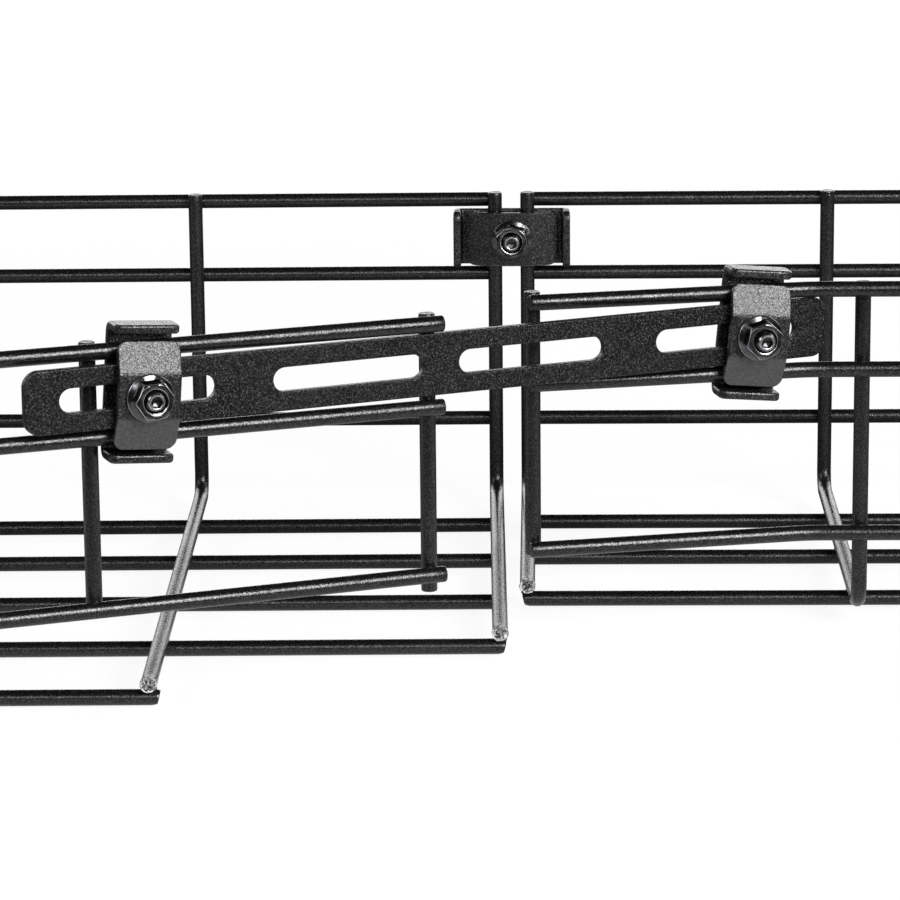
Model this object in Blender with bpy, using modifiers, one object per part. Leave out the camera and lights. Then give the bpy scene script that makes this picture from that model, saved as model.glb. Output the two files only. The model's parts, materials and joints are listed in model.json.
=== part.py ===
"""Wire-mesh cable tray reducer joint.

A 300 mm wide section of welded wire-mesh cable tray meets a 150 mm wide one.
The far side walls butt in line and share one splice clamp.  The near side
wall of the wide section is cut loose from its floor, bent inward, and joined
to the near wall of the narrow section by a slotted splice bar with two clamps.

Metres, +Z up.  X runs along the tray, from the wide ("left") section at -X to
the narrow ("right") one at +X, and +Y points out through the far walls.
Z = 0 is the underside of the wide section's floor wires.  The finished part's
origin is the bottom centre of its box.

Sizes are in millimetres and are scaled once, by MM.  They are laid out from a
datum of their own: X = 0 in the gap between the two far walls, Y = 0 in the
axis plane of the far uprights, with the tray towards -Y.  DATUM is where that
datum lies in the finished part.
"""

import math

import bmesh
import bpy
from mathutils import Matrix, Vector

MM = 0.001
DATUM = (50.035, 151.81, 0.0)

# ---------------------------------------------------------- wire dimensions
WIRE_D = 4.7              # coated steel wire
WIRE_R = WIRE_D / 2.0
WIRE_SIDES = 12
HALF_SIDE = math.radians(180.0 / WIRE_SIDES)
STACK = WIRE_D + 0.05     # axis to axis where two wires are welded across
BEND_R = 7.0              # axis radius of the U bends
BEND_STEP = 15.0          # degrees, longest arc step in a U bend
WALL_BEND_R = 40.0        # the same two for the bends in the near walls
WALL_BEND_STEP = 5.5

CROSS_PITCH = 100.0       # between cross wires
END_GAP = 10.8            # between the two end uprights at the far clamp
END_STUB = 2.3            # a long wire ends this far past the last cross wire
WIDE = 300.0              # far to near upright axis, wide section
NARROW = 150.0
LEFT_YAW = 0.92           # degrees, the wide section's slight turn about Z
LEFT_X = [-(END_GAP / 2.0 + CROSS_PITCH * i) for i in range(4)]
RIGHT_X = [END_GAP / 2.0 + CROSS_PITCH * i for i in range(3)]
LEFT_OUTER_X = LEFT_X[-1] - END_STUB
RIGHT_OUTER_X = RIGHT_X[-1] + END_STUB

# heights of wire axes and wire ends
LONG_Z = WIRE_R * math.cos(HALF_SIDE)  # wide floor wires, with their flats at Z = 0
CROSS_Z = LONG_Z + STACK  # wide section: floor part of the cross wires
NARROW_LIFT = 1.0         # the narrow section's floor is this much higher
FAR_LEVELS = {"top": 106.5, "second": 81.5, "lower": 31.5}
LEFT_NEAR_LEVELS = {"top": 105.7, "second": 81.5, "lower": 32.2}
RIGHT_NEAR_LEVELS = {"top": 105.7, "second": 81.5, "lower": 31.5}
UPRIGHT_TOP = 109.6       # far uprights
NEAR_UPRIGHT_TOP = 107.1

# floor wires, from the far one; the narrow section has only the first three
FLOOR_PITCH = 50.0
FLOOR_Y = [-28.0] + [-25.0 - FLOOR_PITCH * i for i in range(1, 6)]
NARROW_FLOOR_COUNT = 3
LEFT_FLOOR_END_X = (-3.1, -3.1, -3.1, -3.4, -102.2, -202.6)
RIGHT_FLOOR_END_X = 3.6
FAR_WIRE_END_X = 3.1      # far wall wires end this far either side of X = 0

# cut floor ends (Y) of the cross wires, by number from the joint
LEFT_CROSS_CUT = {1: -177.8, 2: -229.2, 3: -278.6}
RIGHT_CROSS_CUT = {1: -127.8}

# bent near walls: x, y on the wires' axis line at the end upright; yaw in degrees
LEFT_WALL = (-20.9, -205.0, 21.9)
RIGHT_WALL = (8.4, -173.85, 13.3)
LEFT_WALL_END = 3.2       # wire ends, along the wall from the end upright
RIGHT_WALL_END = -1.9
# uprights cut loose from the floor: bottom, top
LEFT_LOOSE_UPRIGHTS = ((26.4, 108.1), (29.0, 107.8), (29.0, 107.8))
RIGHT_LOOSE_UPRIGHT = (29.0, 108.2)

# --------------------------------------------------------- clamp dimensions
# A clamp's forward direction is from the clip's web to the bolt tip.  Forward
# coordinates are measured from the axes of the wires it grips.
CLIP_W, CLIP_L, CLIP_T = 18.7, 38.9, 2.5
CLIP_DEPTH = 10.8
CLIP_BEND = 3.2           # outer radius of the folds
CLIP_CORNER = 2.4
CLIP_HOLE_HALF = 3.35     # half the side of the square hole
WEB_FRONT = -2.5          # forward coordinate of the web's front face

PLATE_W, PLATE_L, PLATE_T = 18.0, 31.2, 2.0
PLATE_FLAT = 12.6
PLATE_WING = 20.0         # degrees, each wing bent back
PLATE_CORNER = 3.2
PLATE_FOLD = 1.4          # each fold is eased over this length on either side
PLATE_FOLD_SHIFT = 0.1    # and its middle is moved back and in by this
PLATE_HOLE_R = 3.35

BOLT_R = 2.95
HEAD_GAP = 0.1            # between web and bolt head
BOLT_TIP = (              # radius, distance behind the tip
    (0.0, 0.0), (BOLT_R - 0.75, 0.0), (BOLT_R - 0.15, 0.45), (BOLT_R, 0.9),
)
BOLT_HEAD = (             # radius, distance behind the head's front face
    (BOLT_R, 0.0), (6.3, 0.0), (6.3, 0.6), (5.6, 1.7), (4.1, 2.6), (2.2, 3.1), (0.0, 3.2),
)
BOLT_STEPS = 24
NECK_HALF, NECK_H = 3.05, 2.3
NECK_SINK = 0.2           # the neck starts this far inside the head
RECESS_R, RECESS_DEPTH = 1.55, 1.1
RECESS_CUT_H = 4.0

NUT_AF = 10.0             # across flats
NUT_H = 6.0
NUT_BORE_R = 3.2
NUT_STEPS = 32
NUT_GAP = 0.12            # between plate and nut
FLANGE_R = 6.8
CROWN_PROFILE = (         # radius, height: chamfers the hexagon's corners
    (0.0, NUT_H), (4.95, NUT_H), (6.6, NUT_H - 0.95), (6.6, -0.5), (0.0, -0.5),
)
FLANGE_PROFILE = (        # radius, height
    (0.0, 2.3), (5.1, 2.3), (FLANGE_R - 0.15, 1.25), (FLANGE_R, 1.0),
    (FLANGE_R, 0.35), (FLANGE_R - 0.3, 0.0), (0.0, 0.0),
)

# far clamp, turned so that its clip lies along the wires
FAR_CLAMP_AT = (0.2, 0.0, 94.2)
FAR_PLATE_BACK = 2.6      # forward coordinate of the plate's back face
FAR_BOLT_TIP = 12.3
FAR_NUT_TURN = 12.0       # degrees

NEAR_CLAMP_Z = 93.7
NEAR_BOLT_TIP = 16.6
# name, wall, distance along it from the end upright, turn (degrees, clockwise
# seen from the bolt tip), forward coordinate of the plate's back, nut turn
NEAR_CLAMPS = (
    ("left", LEFT_WALL, -86.4, 4.2, 7.7, 8.0),
    ("right", RIGHT_WALL, 65.3, 5.5, 6.5, 22.0),
)

# ---------------------------------------------------- splice bar dimensions
BAR_AT = (-18.82, -203.14, 94.0)
BAR_YAW = 25.2
BAR_L, BAR_H, BAR_T = 248.4, 18.0, 2.5
BAR_CORNER = 4.5
BAR_CORNER_STEPS = 5
SLOT_L, SLOT_H = 45.8, 6.9
SLOT_CORNER = SLOT_H / 2.0 - 0.001   # just short of a full half circle
SLOT_CORNER_STEPS = 6
SLOT_CENTRES = (-91.2, -28.4, 28.4, 91.2)

# ---------------------------------------------------------------- materials
WIRE_COAT = dict(suffix="coat", color=(0.017, 0.017, 0.018), roughness=0.42, metallic=0.0)
PLATE_COAT = dict(suffix="coat", color=(0.028, 0.028, 0.030), roughness=0.50, metallic=0.0)
ZINC = dict(suffix="zinc", color=(0.030, 0.030, 0.033), roughness=0.22, metallic=1.0)


def material(name, suffix, color, roughness, metallic):
    """The material of one piece, named after it."""
    mat = bpy.data.materials.new(f"{name}_{suffix}")
    mat.use_nodes = True
    bsdf = mat.node_tree.nodes["Principled BSDF"]
    bsdf.inputs["Base Color"].default_value = (*color, 1.0)
    bsdf.inputs["Roughness"].default_value = roughness
    bsdf.inputs["Metallic"].default_value = metallic
    return mat


# -------------------------------------------------------------------- scene
for old in list(bpy.data.objects):
    bpy.data.objects.remove(old, do_unlink=True)

TRAY = bpy.data.collections.new("cable_tray")
CUTTERS = bpy.data.collections.new("cutters")
for collection in (TRAY, CUTTERS):
    bpy.context.scene.collection.children.link(collection)

datum = bpy.data.objects.new("datum", None)
datum.empty_display_size = 0.02
datum.location = Vector(DATUM) * MM
TRAY.objects.link(datum)


def add_piece(ob, parent, finish):
    """Put a visible piece in the tray, with its own material."""
    TRAY.objects.link(ob)
    ob.parent = parent
    ob.data.materials.append(material(ob.name, **finish))
    return ob


def add_helper(ob, parent, location=(0.0, 0.0, 0.0), rotation=(0.0, 0.0, 0.0)):
    """Add a hidden operand for a Boolean; the location is in millimetres."""
    CUTTERS.objects.link(ob)
    ob.parent = parent
    ob.location = Vector(location) * MM
    ob.rotation_euler = rotation
    ob.hide_render = True
    ob.display_type = "WIRE"
    return ob


def add_empty(name, parent, location=(0.0, 0.0, 0.0), rotation=(0.0, 0.0, 0.0)):
    ob = bpy.data.objects.new(name, None)
    ob.empty_display_size = 0.01
    ob.location = Vector(location) * MM
    ob.rotation_euler = rotation
    TRAY.objects.link(ob)
    ob.parent = parent
    return ob


def boolean(ob, label, operation, operand):
    mod = ob.modifiers.new(label, "BOOLEAN")
    mod.operation = operation
    mod.solver = "EXACT"
    mod.object = operand


# -------------------------------------------------------------------- wires
def rounded_path(points, radius, step):
    """A polyline whose inner corners are arcs of the given radius."""
    points = [Vector(point) for point in points]
    path = [points[0]]
    for before, corner, after in zip(points, points[1:], points[2:]):
        to_before = (before - corner).normalized()
        to_after = (after - corner).normalized()
        turn = math.pi - to_before.angle(to_after)
        cut = radius * math.tan(turn / 2.0)
        centre = corner + (to_before + to_after).normalized() * (radius / math.cos(turn / 2.0))
        start = corner + to_before * cut
        end = corner + to_after * cut
        axis = (start - centre).cross(end - centre).normalized()
        count = max(2, int(math.ceil(math.degrees(turn) / step)))
        for i in range(count + 1):
            rotation = Matrix.Rotation(turn * i / count, 3, axis)
            path.append(centre + rotation @ (start - centre))
    path.append(points[-1])
    return path


def wire(name, points, parent=datum, bend=BEND_R, step=BEND_STEP):
    """A round wire along the points, as a POLY curve with filled caps.

    Its section is turned by half a side, so that a long wire has a flat
    underneath.
    """
    path = rounded_path(points, bend, step)
    origin = path[0]
    curve = bpy.data.curves.new(name, "CURVE")
    curve.dimensions = "3D"
    curve.fill_mode = "FULL"
    curve.bevel_depth = WIRE_R * MM
    curve.bevel_resolution = WIRE_SIDES // 2 - 2
    curve.use_fill_caps = True
    curve.twist_mode = "MINIMUM"
    spline = curve.splines.new("POLY")
    spline.points.add(len(path) - 1)
    for point, place in zip(spline.points, path):
        point.co = (*((place - origin) * MM), 1.0)
        point.tilt = HALF_SIDE
    spline.use_smooth = True
    ob = bpy.data.objects.new(name, curve)
    ob.location = origin * MM
    add_piece(ob, parent, WIRE_COAT)


def wall_point(wall, along, out=0.0):
    """Plan point on a near wall: along its wires, and outward from them."""
    x, y, yaw = wall
    yaw = math.radians(yaw)
    return (x + along * math.cos(yaw) + out * math.sin(yaw),
            y + along * math.sin(yaw) - out * math.cos(yaw))


def to_left(x, y):
    """A plan point in the frame of the wide section."""
    point = Matrix.Rotation(-math.radians(LEFT_YAW), 2) @ Vector((x, y))
    return (point.x, point.y)


def long_wires(side, parent, outer_x, direction, floor_ends, lift):
    """Far wall and floor wires of one section; direction is -1 at -X, 1 at +X."""
    for level, z in FAR_LEVELS.items():
        ends = sorted((outer_x, direction * FAR_WIRE_END_X))
        wire(f"{side}_far_{level}_wire", [(x, STACK, z) for x in ends], parent)
    for i, (y, end_x) in enumerate(zip(FLOOR_Y, floor_ends), 1):
        ends = sorted((outer_x, end_x))
        wire(f"{side}_floor_wire_{i}", [(x, y, LONG_Z + lift) for x in ends], parent)


def cross_wires(side, parent, stations, width, cuts, lift):
    """Whole U shapes, or cut through the floor where the near wall was freed."""
    z = CROSS_Z + lift
    for i, x in enumerate(stations, 1):
        points = [(x, 0, UPRIGHT_TOP), (x, 0, z)]
        if i in cuts:
            points += [(x, cuts[i], z)]
        else:
            points += [(x, -width, z), (x, -width, NEAR_UPRIGHT_TOP)]
        wire(f"{side}_cross_wire_{i}", points, parent)


def near_wires(side, parent, levels, joint_end, yaw, outer_x, width):
    """Near wall wires: parallel to the tray at the intact end, then bent."""
    joint_x, joint_y = joint_end
    parallel_y = -(width + STACK)
    corner_x = joint_x + (parallel_y - joint_y) / math.tan(math.radians(yaw))
    for level, z in levels.items():
        points = sorted([(outer_x, parallel_y, z), (corner_x, parallel_y, z),
                         (joint_x, joint_y, z)])
        wire(f"{side}_near_{level}_wire", points, parent, WALL_BEND_R, WALL_BEND_STEP)


# wide section, its near wall bent inward towards the joint
left_frame = add_empty("left_section_frame", datum, rotation=(0.0, 0.0, math.radians(LEFT_YAW)))
long_wires("left", left_frame, LEFT_OUTER_X, -1, LEFT_FLOOR_END_X, 0.0)
cross_wires("left", left_frame, LEFT_X, WIDE, LEFT_CROSS_CUT, 0.0)
near_wires("left", left_frame, LEFT_NEAR_LEVELS, to_left(*wall_point(LEFT_WALL, LEFT_WALL_END)),
           LEFT_WALL[2] - LEFT_YAW, LEFT_OUTER_X, WIDE)
for i, (bottom, top) in enumerate(LEFT_LOOSE_UPRIGHTS):
    x, y = to_left(*wall_point(LEFT_WALL, -CROSS_PITCH * i, -STACK))
    wire(f"left_near_upright_{i + 1}", [(x, y, bottom), (x, y, top)], left_frame)

# narrow section, its near wall bent outward towards the joint
long_wires("right", datum, RIGHT_OUTER_X, 1, [RIGHT_FLOOR_END_X] * NARROW_FLOOR_COUNT,
           NARROW_LIFT)
cross_wires("right", datum, RIGHT_X, NARROW, RIGHT_CROSS_CUT, NARROW_LIFT)
near_wires("right", datum, RIGHT_NEAR_LEVELS, wall_point(RIGHT_WALL, RIGHT_WALL_END),
           RIGHT_WALL[2], RIGHT_OUTER_X, NARROW)
x, y = wall_point(RIGHT_WALL, 0.0, -STACK)
wire("right_near_upright_1", [(x, y, z) for z in RIGHT_LOOSE_UPRIGHT])


# ------------------------------------------------------------ basic shapes
def object_from(bm, name):
    """Turn a bmesh into an object that is not yet in any collection."""
    mesh = bpy.data.meshes.new(name)
    bm.to_mesh(mesh)
    bm.free()
    return bpy.data.objects.new(name, mesh)


def prism(name, segments, radius, depth, turn=0.0):
    """A prism on the local Z axis, its base at z = 0."""
    bm = bmesh.new()
    bmesh.ops.create_cone(bm, cap_ends=True, segments=segments, radius1=radius * MM,
                          radius2=radius * MM, depth=depth * MM)
    bmesh.ops.rotate(bm, verts=bm.verts, matrix=Matrix.Rotation(math.radians(turn), 3, "Z"))
    bmesh.ops.translate(bm, verts=bm.verts, vec=(0, 0, depth * MM / 2.0))
    return object_from(bm, name)


def square_prism(name, half_side, depth):
    return prism(name, 4, half_side * math.sqrt(2.0), depth, 45.0)


def turned(name, profile, steps):
    """Turn a (radius, height) profile about local Z; the list runs top to bottom."""
    bm = bmesh.new()
    verts = [bm.verts.new((radius * MM, 0.0, z * MM)) for radius, z in profile]
    for upper, lower in zip(verts, verts[1:]):
        bm.edges.new((upper, lower))
    ob = object_from(bm, name)
    screw = ob.modifiers.new("turn", "SCREW")
    screw.steps = steps
    screw.render_steps = steps
    screw.use_merge_vertices = True
    screw.merge_threshold = 0.00001
    screw.use_smooth_shade = True
    return ob


def arc(centre, radius, start, end, count):
    """Points on an arc; the angles are in degrees."""
    angles = [math.radians(start + (end - start) * i / count) for i in range(count + 1)]
    return [(centre[0] + radius * math.cos(angle), centre[1] + radius * math.sin(angle))
            for angle in angles]


# --------------------------------------------------------------- bent sheet
CORNER_STEPS = 4          # in the arc that rounds a strip's corner
MIN_STATION_GAP = 0.12    # stations closer than this are merged


def strip_stations(lengths, corner):
    """Distances along a strip where it bends or its width changes."""
    total = lengths[-1]
    stations = set(lengths)
    for i in range(CORNER_STEPS + 1):
        inset = corner * (1.0 - math.cos(math.radians(90.0 / CORNER_STEPS * i)))
        stations.update((inset, total - inset))
    merged = []
    for station in sorted(stations):
        if not merged or station - merged[-1] > MIN_STATION_GAP:
            merged.append(station)
    merged[-1] = total
    return merged


def strip(name, path, width, thickness, corner, parent):
    """Bent sheet: a strip swept along a (y, z) mid-line, with rounded ends.

    The strip is an open surface whose two ends narrow along a corner arc, and
    Solidify gives it its thickness.
    """
    points = [Vector(point) for point in path]
    lengths = [0.0]
    for start, end in zip(points, points[1:]):
        lengths.append(lengths[-1] + (end - start).length)
    total = lengths[-1]

    def point_at(station):
        i = next(i for i in range(len(points) - 1) if station <= lengths[i + 1] + 1e-9)
        fraction = (station - lengths[i]) / (lengths[i + 1] - lengths[i])
        return points[i].lerp(points[i + 1], fraction)

    bm = bmesh.new()
    rows = []
    for station in strip_stations(lengths, corner):
        from_end = min(station, total - station)
        half = width / 2.0
        if from_end < corner:
            half += math.sqrt(max(0.0, corner ** 2 - (corner - from_end) ** 2)) - corner
        y, z = point_at(station)
        rows.append([bm.verts.new((side * half * MM, y * MM, z * MM)) for side in (-1, 1)])
    for row, following in zip(rows, rows[1:]):
        bm.faces.new((row[0], row[1], following[1], following[0]))
    bmesh.ops.recalc_face_normals(bm, faces=bm.faces)
    ob = object_from(bm, name)
    ob.data.shade_smooth()
    ob.data.set_sharp_from_angle(angle=math.radians(30))
    add_piece(ob, parent, PLATE_COAT)
    solid = ob.modifiers.new("thickness", "SOLIDIFY")
    solid.thickness = thickness * MM
    solid.offset = 0.0
    solid.use_even_offset = True
    return ob


# ------------------------------------------------------------------- clamps
# The local frame of a clamp: its bolt on the Y axis, forward towards -Y, the
# long side of the clip along Z.  FORWARD turns a piece's own +Z to that -Y.
FORWARD = (math.radians(90), 0.0, 0.0)


def clip(name, parent):
    """Channel clip: a web behind the wires and a lip folded forward at each end."""
    web_y = -WEB_FRONT + CLIP_T / 2.0
    lip_y = web_y - (CLIP_DEPTH - CLIP_T / 2.0)
    top = CLIP_L / 2.0 - CLIP_T / 2.0
    radius = CLIP_BEND - CLIP_T / 2.0
    path = [(lip_y, top)]
    path += arc((web_y - radius, top - radius), radius, 90.0, 0.0, 4)
    path += arc((web_y - radius, -top + radius), radius, 0.0, -90.0, 4)
    path += [(lip_y, -top)]
    ob = strip(name, path, CLIP_W, CLIP_T, CLIP_CORNER, parent)
    cut_depth = CLIP_T * 3.0
    square = square_prism(name + "_square_hole", CLIP_HOLE_HALF, cut_depth)
    add_helper(square, parent, (0, web_y + cut_depth / 2.0, 0), FORWARD)
    boolean(ob, "hole", "DIFFERENCE", square)


def front_plate(name, parent):
    """Bowed plate: a flat middle and two wings bent back, with a round hole."""
    angle = math.radians(PLATE_WING)
    wing = (PLATE_L - PLATE_FLAT) / 2.0
    mid = -PLATE_T / 2.0
    half = PLATE_FLAT / 2.0
    path = [(mid + run * math.sin(angle), half + run * math.cos(angle))
            for run in (wing, PLATE_FOLD)]
    path += [(mid + PLATE_FOLD_SHIFT, half - PLATE_FOLD_SHIFT), (mid, half - PLATE_FOLD)]
    path += [(y, -z) for y, z in reversed(path)]
    ob = strip(name, path, PLATE_W, PLATE_T, PLATE_CORNER, parent)
    cut_depth = PLATE_T * 4.0
    round_hole = prism(name + "_hole", 24, PLATE_HOLE_R, cut_depth)
    add_helper(round_hole, parent, (0, cut_depth / 2.0, 0), FORWARD)
    boolean(ob, "hole", "DIFFERENCE", round_hole)


def bolt(name, parent, tip):
    """Cup-head square-neck M6 bolt, with a hexagonal recess in its tip.

    Turned about its own Z: the tip is at z = tip and the head behind the web.
    """
    head_z = WEB_FRONT - CLIP_T - HEAD_GAP
    profile = [(radius, tip - drop) for radius, drop in BOLT_TIP]
    profile += [(radius, head_z - drop) for radius, drop in BOLT_HEAD]
    ob = add_piece(turned(name, profile, BOLT_STEPS), parent, ZINC)
    ob.rotation_euler = FORWARD
    neck = square_prism(name + "_neck", NECK_HALF, NECK_H)
    add_helper(neck, ob, (0, 0, head_z - NECK_SINK))
    boolean(ob, "square neck", "UNION", neck)
    recess = prism(name + "_recess", 6, RECESS_R, RECESS_CUT_H)
    add_helper(recess, ob, (0, 0, tip - RECESS_DEPTH))
    boolean(ob, "hole", "DIFFERENCE", recess)


def flange_nut(name, parent, turn):
    """M6 hexagon nut with a conical flange; its origin is on the bolt axis."""
    ob = add_piece(prism(name, 6, NUT_AF / math.sqrt(3.0), NUT_H, turn), parent, ZINC)
    ob.rotation_euler = FORWARD
    overrun = 2.0         # of the bore cutter at each end
    crown = add_helper(turned(name + "_crown", CROWN_PROFILE, NUT_STEPS), ob)
    flange = add_helper(turned(name + "_flange", FLANGE_PROFILE, NUT_STEPS), ob)
    bore = prism(name + "_bore", NUT_STEPS, NUT_BORE_R, NUT_H + 2.0 * overrun)
    add_helper(bore, ob, (0, 0, -overrun))
    boolean(ob, "crown", "INTERSECT", crown)
    boolean(ob, "flange", "UNION", flange)
    boolean(ob, "bore", "DIFFERENCE", bore)


def clamp(prefix, location, turn, yaw, plate_back, tip, nut_turn):
    """One clamp: the clip and bolt on one empty, the plate and nut on others.

    Every empty lies on the bolt axis, so a plate slides and a nut turns on it.
    """
    rotation = (0.0, math.radians(turn), math.radians(yaw))
    frame = add_empty(prefix + "_clamp_axis", datum, location, rotation)
    clip(prefix + "_clip", frame)
    bolt(prefix + "_bolt", frame, tip)
    plate_axis = add_empty(prefix + "_plate_axis", frame, (0, -plate_back, 0))
    front_plate(prefix + "_front_plate", plate_axis)
    nut_axis = add_empty(prefix + "_nut_axis", plate_axis, (0, -(PLATE_T + NUT_GAP), 0))
    flange_nut(prefix + "_flange_nut", nut_axis, nut_turn)


clamp("far", FAR_CLAMP_AT, turn=90.0, yaw=0.0, plate_back=FAR_PLATE_BACK,
      tip=FAR_BOLT_TIP, nut_turn=FAR_NUT_TURN)
for side, wall, along, turn, plate_back, nut_turn in NEAR_CLAMPS:
    clamp(side, (*wall_point(wall, along), NEAR_CLAMP_Z), turn, wall[2], plate_back,
          NEAR_BOLT_TIP, nut_turn)


# --------------------------------------------------------------- splice bar
def rounded_outline(length, height, radius, count):
    """Corner arcs of a rounded rectangle, anticlockwise from the right side."""
    points = []
    for x, y, start in ((1, 1, 0), (-1, 1, 90), (-1, -1, 180), (1, -1, 270)):
        centre = (x * (length / 2.0 - radius), y * (height / 2.0 - radius))
        points += arc(centre, radius, start, start + 90, count)
    return points


def splice_bar(name):
    """Flat bar with four slots, as an extruded 2D curve stood on edge."""
    outlines = [rounded_outline(BAR_L, BAR_H, BAR_CORNER, BAR_CORNER_STEPS)]
    slot = rounded_outline(SLOT_L, SLOT_H, SLOT_CORNER, SLOT_CORNER_STEPS)
    outlines += [[(x + centre, y) for x, y in slot] for centre in SLOT_CENTRES]
    curve = bpy.data.curves.new(name, "CURVE")
    curve.dimensions = "2D"
    curve.fill_mode = "BOTH"
    curve.extrude = BAR_T * MM / 2.0
    for outline in outlines:
        spline = curve.splines.new("POLY")
        spline.points.add(len(outline) - 1)
        spline.use_cyclic_u = True
        for point, (x, y) in zip(spline.points, outline):
            point.co = (x * MM, y * MM, 0.0, 1.0)
    ob = bpy.data.objects.new(name, curve)
    ob.location = Vector(BAR_AT) * MM
    ob.rotation_euler = (math.radians(90), 0.0, math.radians(BAR_YAW))
    add_piece(ob, datum, PLATE_COAT)


splice_bar("splice_bar")
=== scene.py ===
"""Looks for the wire-mesh cable tray reducer joint.

Every CAD wire is stood for by a smooth round wire along the same centre line,
with sealed or sheared ends and small weld beads where wires cross.  The splice
hardware is rebuilt as folded sheet with rounded edges, threaded bolts and
chamfered flange nuts.  Shapes are laid out in millimetres.
"""

import json
import math

import bmesh
import bpy
import numpy as np
from mathutils import Matrix, Vector


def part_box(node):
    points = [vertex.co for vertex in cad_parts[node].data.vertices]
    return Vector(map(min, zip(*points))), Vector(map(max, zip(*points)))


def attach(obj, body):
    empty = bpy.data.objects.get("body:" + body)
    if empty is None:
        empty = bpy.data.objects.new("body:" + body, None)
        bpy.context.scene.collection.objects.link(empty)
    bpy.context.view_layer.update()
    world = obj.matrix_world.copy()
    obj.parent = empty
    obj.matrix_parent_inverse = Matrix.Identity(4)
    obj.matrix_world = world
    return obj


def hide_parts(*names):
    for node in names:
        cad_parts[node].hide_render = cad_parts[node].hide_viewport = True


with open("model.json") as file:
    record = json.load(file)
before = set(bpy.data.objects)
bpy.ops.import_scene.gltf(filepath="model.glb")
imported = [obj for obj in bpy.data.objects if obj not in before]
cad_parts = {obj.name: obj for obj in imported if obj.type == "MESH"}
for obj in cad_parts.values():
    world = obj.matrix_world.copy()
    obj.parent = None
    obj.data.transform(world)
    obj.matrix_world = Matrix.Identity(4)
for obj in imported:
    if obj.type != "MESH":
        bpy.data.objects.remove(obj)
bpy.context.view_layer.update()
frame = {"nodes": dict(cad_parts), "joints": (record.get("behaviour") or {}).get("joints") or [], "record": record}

MM = 0.001
NODES = frame["nodes"]
JOINTS = {j["name"]: j for j in frame["joints"]}
BODY_OF = {n: b for b, names in frame["record"]["behaviour"]["bodies"].items() for n in names}

WIRE_R = 2.35
BEND_R = 7.0
WALL_BEND_R = 40.0
SIDES = 28


# ------------------------------------------------------------------ material
class Nodes:
    """A short way to write a node tree."""

    def __init__(self, name):
        self.mat = bpy.data.materials.new(name)
        self.mat.use_nodes = True
        self.nt = self.mat.node_tree
        self.bsdf = self.nt.nodes["Principled BSDF"]

    def add(self, kind, **values):
        node = self.nt.nodes.new(kind)
        for key, value in values.items():
            if hasattr(node, key):
                setattr(node, key, value)
            else:
                node.inputs[key.replace("_", " ")].default_value = value
        return node

    def link(self, a, b):
        self.nt.links.new(a, b)

    def math(self, op, a, b=None, clamp=False):
        node = self.nt.nodes.new("ShaderNodeMath")
        node.operation = op
        node.use_clamp = clamp
        for i, value in enumerate((a, b)):
            if value is None:
                continue
            if isinstance(value, (int, float)):
                node.inputs[i].default_value = value
            else:
                self.link(value, node.inputs[i])
        return node.outputs[0]

    def ramp(self, value, stops):
        node = self.nt.nodes.new("ShaderNodeValToRGB")
        ramp = node.color_ramp
        while len(ramp.elements) > 1:
            ramp.elements.remove(ramp.elements[-1])
        first = True
        for position, level in stops:
            colour = (*level, 1.0) if isinstance(level, tuple) else (level, level, level, 1.0)
            if first:
                ramp.elements[0].position = position
                ramp.elements[0].color = colour
                first = False
            else:
                element = ramp.elements.new(position)
                element.color = colour
        self.link(value, node.inputs[0])
        return node.outputs["Color"]

    def mix(self, factor, a, b):
        node = self.nt.nodes.new("ShaderNodeMix")
        node.data_type = "RGBA"
        for socket, value in ((node.inputs[0], factor), (node.inputs[6], a), (node.inputs[7], b)):
            if isinstance(value, (int, float)):
                socket.default_value = value
            elif isinstance(value, tuple):
                socket.default_value = (*value, 1.0)
            else:
                self.link(value, socket)
        return node.outputs[2]

    def millimetres(self):
        coord = self.nt.nodes.new("ShaderNodeTexCoord")
        mapping = self.nt.nodes.new("ShaderNodeMapping")
        mapping.inputs["Scale"].default_value = (1000.0, 1000.0, 1000.0)
        self.link(coord.outputs["Object"], mapping.inputs["Vector"])
        return mapping.outputs["Vector"]

    def noise(self, vector, scale, detail=2.0, roughness=0.5, distortion=0.0):
        node = self.nt.nodes.new("ShaderNodeTexNoise")
        node.inputs["Scale"].default_value = scale
        node.inputs["Detail"].default_value = detail
        node.inputs["Roughness"].default_value = roughness
        node.inputs["Distortion"].default_value = distortion
        self.link(vector, node.inputs["Vector"])
        return node.outputs["Fac"]

    def bump(self, height, strength, distance, normal=None):
        node = self.nt.nodes.new("ShaderNodeBump")
        node.inputs["Strength"].default_value = strength
        node.inputs["Distance"].default_value = distance
        self.link(height, node.inputs["Height"])
        if normal is not None:
            self.link(normal, node.inputs["Normal"])
        return node.outputs["Normal"]


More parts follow.
